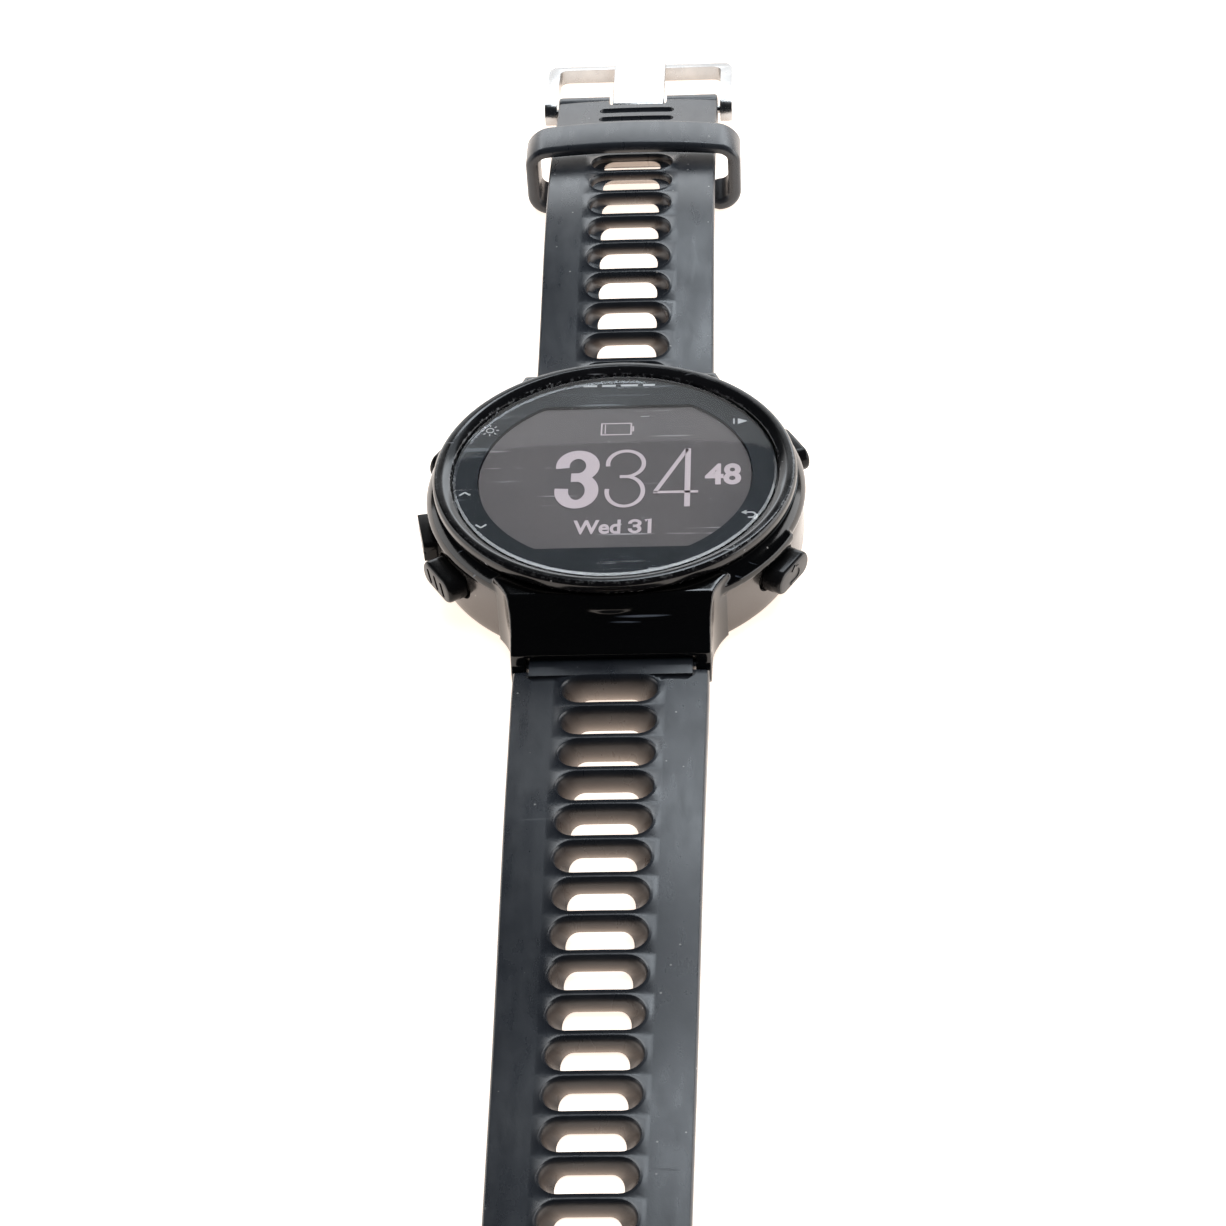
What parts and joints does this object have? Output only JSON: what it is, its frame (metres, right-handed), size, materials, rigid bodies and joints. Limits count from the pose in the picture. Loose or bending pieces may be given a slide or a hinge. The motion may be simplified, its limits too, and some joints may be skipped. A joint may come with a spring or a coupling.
{
  "type": "gps running watch",
  "caption": "Round sports watch with a flat display, push buttons round the case and a slotted rubber strap with keeper and pin buckle, laid open.",
  "frame": {"origin": "on the case's axis, in the plane of the flat of the sensor window that the watch lies on", "axes": "+Z out of the display, +Y towards 12 o'clock and the buckle, +X towards 3 o'clock"},
  "size_m": [0.0459, 0.2488, 0.0119],
  "materials": {
    "gloss_shell": "gloss",
    "inner_shell": "gloss",
    "button_cap": "satin",
    "lens_glass": "polished",
    "lens_print": "matt",
    "display": "satin",
    "light_guide": "clear",
    "strap_rubber": "matt",
    "seal_rubber": "matt",
    "steel": "brushed",
    "gold_contact": "plated",
    "board": "solder mask",
    "battery_pouch": "foil",
    "ceramic": "matt",
    "tray_plastic": "matt"
  },
  "bodies": {
    "case": {"back_cover": "gloss_shell", "back_gasket": "seal_rubber", "back_screw_1": "steel", "back_screw_2": "steel", "back_screw_3": "steel", "back_screw_4": "steel", "battery": "battery_pouch", "beeper": "gold_contact", "bezel_ring": "gloss_shell", "board_shield": "steel", "bottom_lug_pin": "steel", "bottom_lug_screw_left": "steel", "bottom_lug_screw_right": "steel", "charge_contact_1": "gold_contact", "charge_contact_2": "gold_contact", "charge_contact_3": "gold_contact", "charge_contact_4": "gold_contact", "display_panel": "display", "display_ribbon": "gold_contact", "display_tray": "tray_plastic", "down_button_seal": "seal_rubber", "down_switch": "steel", "gps_antenna": "ceramic", "lap_button_seal": "seal_rubber", "lap_switch": "steel", "lens": "lens_glass", "lens_gasket": "seal_rubber", "lens_mask": "lens_print", "light_button_seal": "seal_rubber", "light_guide": "light_guide", "light_switch": "steel", "lower_case": "inner_shell", "main_board": "board", "sensor_board": "board", "sensor_window": "lens_glass", "start_button_seal": "seal_rubber", "start_switch": "steel", "top_lug_pin": "steel", "top_lug_screw_left": "steel", "top_lug_screw_right": "steel", "up_button_seal": "seal_rubber", "up_switch": "steel", "upper_case": "gloss_shell", "vibration_motor": "steel"},
    "buckle": {"buckle_frame": "steel"},
    "prong": {"buckle_prong": "steel"},
    "short_strap": {"buckle_spring_bar": "steel", "short_strap": "strap_rubber"},
    "down_button": {"down_button": "button_cap", "down_button_clip": "steel"},
    "lap_button": {"lap_button": "button_cap", "lap_button_clip": "steel"},
    "light_button": {"light_button": "button_cap", "light_button_clip": "steel"},
    "long_strap": {"long_strap": "strap_rubber"},
    "start_button": {"start_button": "button_cap", "start_button_clip": "steel"},
    "keeper": {"strap_keeper": "strap_rubber"},
    "up_button": {"up_button": "button_cap", "up_button_clip": "steel"}
  },
  "joints": [
    {"name": "start_press", "type": "slide", "parent": "case", "child": "start_button", "axis": [-0.8829, -0.4695, 0], "range_m": [0, 0.0006], "stiffness_N_per_m": 2500},
    {"name": "light_press", "type": "slide", "parent": "case", "child": "light_button", "axis": [0.8829, -0.4695, 0], "range_m": [0, 0.0006], "stiffness_N_per_m": 2500},
    {"name": "up_press", "type": "slide", "parent": "case", "child": "up_button", "axis": [0.9816, 0.1908, 0], "range_m": [0, 0.0006], "stiffness_N_per_m": 2500},
    {"name": "down_press", "type": "slide", "parent": "case", "child": "down_button", "axis": [0.848, 0.5299, 0], "range_m": [0, 0.0006], "stiffness_N_per_m": 2500},
    {"name": "lap_press", "type": "slide", "parent": "case", "child": "lap_button", "axis": [-0.8572, 0.515, 0], "range_m": [0, 0.0006], "stiffness_N_per_m": 2500},
    {"name": "short_strap_swing", "type": "hinge", "parent": "case", "child": "short_strap", "pos_m": [0, 0.0236, 0.0027], "axis": [-1, 0, 0], "range_deg": [-5, 60]},
    {"name": "long_strap_swing", "type": "hinge", "parent": "case", "child": "long_strap", "pos_m": [0, -0.0236, 0.0027], "axis": [1, 0, 0], "range_deg": [-5, 60]},
    {"name": "keeper_slide", "type": "slide", "parent": "short_strap", "child": "keeper", "axis": [0, 1, 0], "range_m": [-0.036, 0.006]},
    {"name": "buckle_swing", "type": "hinge", "parent": "short_strap", "child": "buckle", "pos_m": [0, 0.092, 0.0022], "axis": [1, 0, 0], "range_deg": [-45, 45]},
    {"name": "prong_lift", "type": "hinge", "parent": "buckle", "child": "prong", "pos_m": [0, 0.092, 0.0022], "axis": [1, 0, 0], "range_deg": [0, 45]}
  ]
}
